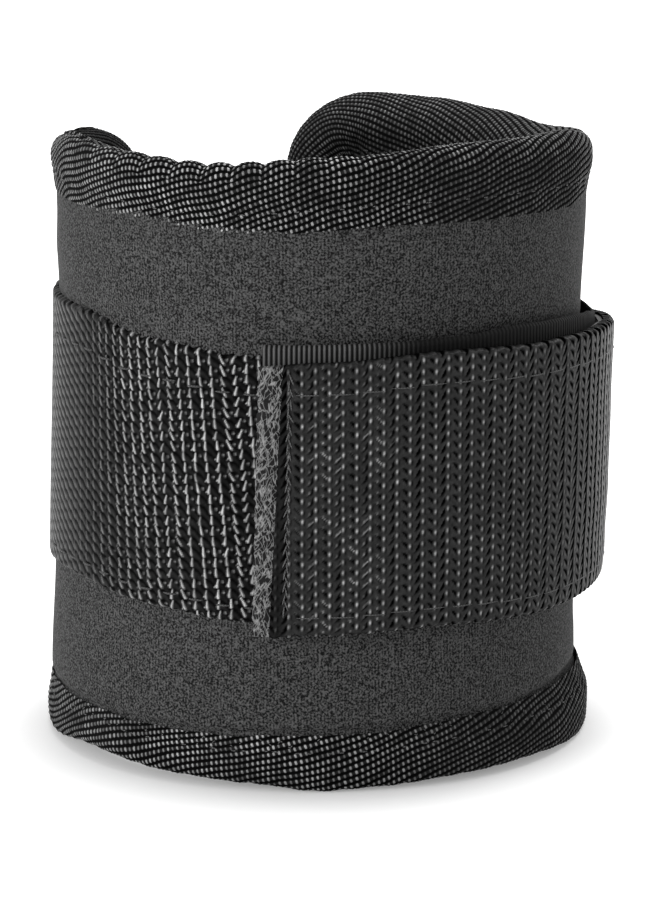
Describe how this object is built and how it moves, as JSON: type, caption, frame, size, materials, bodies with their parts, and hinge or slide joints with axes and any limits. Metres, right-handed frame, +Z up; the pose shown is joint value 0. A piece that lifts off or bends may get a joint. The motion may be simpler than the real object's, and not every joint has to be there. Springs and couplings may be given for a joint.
{
  "type": "ankle cuff weight",
  "caption": "Padded C-shaped ankle cuff with taped edges and shot packs in pockets, closed by a wide webbing strap with hook and loop tape.",
  "frame": {"origin": "centre of the ankle opening: on the cuff's axis, halfway up", "axes": "+Z up along the ankle opening; -Y is the front, where the closed strap's tip lies; +X is the right as seen from the front"},
  "size_m": [0.1094, 0.1135, 0.116],
  "materials": {
    "neoprene": "matte",
    "lining": "matte",
    "core_foam": "matte",
    "shot_pack": "matte",
    "binding_tape": "matte",
    "webbing": "matte",
    "loop_tape": "matte",
    "hook_tape": "matte",
    "thread": "matte"
  },
  "bodies": {
    "front_panel": {"shell_front": "neoprene", "lining_front": "lining", "core_front": "core_foam", "weight_pack_3": "shot_pack", "weight_pack_4": "shot_pack", "weight_pack_5": "shot_pack", "binding_top_front": "binding_tape", "binding_bottom_front": "binding_tape", "webbing_front": "webbing", "loop_tape_front": "loop_tape"},
    "left_wing": {"shell_left": "neoprene", "lining_left": "lining", "core_left": "core_foam", "weight_pack_1": "shot_pack", "weight_pack_2": "shot_pack", "binding_left": "binding_tape", "webbing_left": "webbing", "strap_root": "webbing", "webbing_stitches_left": "thread", "root_stitches": "thread"},
    "right_wing": {"shell_right": "neoprene", "lining_right": "lining", "core_right": "core_foam", "weight_pack_6": "shot_pack", "weight_pack_7": "shot_pack", "weight_pack_8": "shot_pack", "weight_pack_9": "shot_pack", "binding_right": "binding_tape", "webbing_right": "webbing", "loop_tape_right": "loop_tape"},
    "strap_back": {"strap_back": "webbing"},
    "strap_side": {"strap_side": "webbing", "hook_tape_side": "hook_tape", "strap_stitches_side": "thread"},
    "strap_front": {"strap_front": "webbing", "hook_tape_front": "hook_tape", "strap_stitches_front": "thread"}
  },
  "joints": [
    {"name": "right_wing_open", "type": "hinge", "parent": "front_panel", "child": "right_wing", "pos_m": [0.04091, -0.03433, 0], "axis": [0, 0, -1], "range_deg": [0, 36]},
    {"name": "left_wing_open", "type": "hinge", "parent": "front_panel", "child": "left_wing", "pos_m": [-0.03999, -0.03355, 0], "axis": [0, 0, 1], "range_deg": [0, 36]},
    {"name": "strap_root_turn", "type": "hinge", "parent": "left_wing", "child": "strap_back", "pos_m": [-0.04846, 0.0245, 0], "axis": [0, 0, 1], "range_deg": [0, 45]},
    {"name": "strap_unroll", "type": "hinge", "parent": "strap_back", "child": "strap_side", "pos_m": [0.04653, 0.03258, 0], "axis": [0, 0, 1], "range_deg": [0, 90]},
    {"name": "strap_tip_peel", "type": "hinge", "parent": "strap_side", "child": "strap_front", "pos_m": [0.03651, -0.04351, 0], "axis": [0, 0, 1], "range_deg": [0, 100]}
  ],
  "couplings": [
    {"joint": "left_wing_open", "follows": "right_wing_open", "ratio": 1},
    {"joint": "strap_root_turn", "follows": "right_wing_open", "ratio": 1.25},
    {"joint": "strap_unroll", "follows": "right_wing_open", "ratio": 2.5}
  ]
}
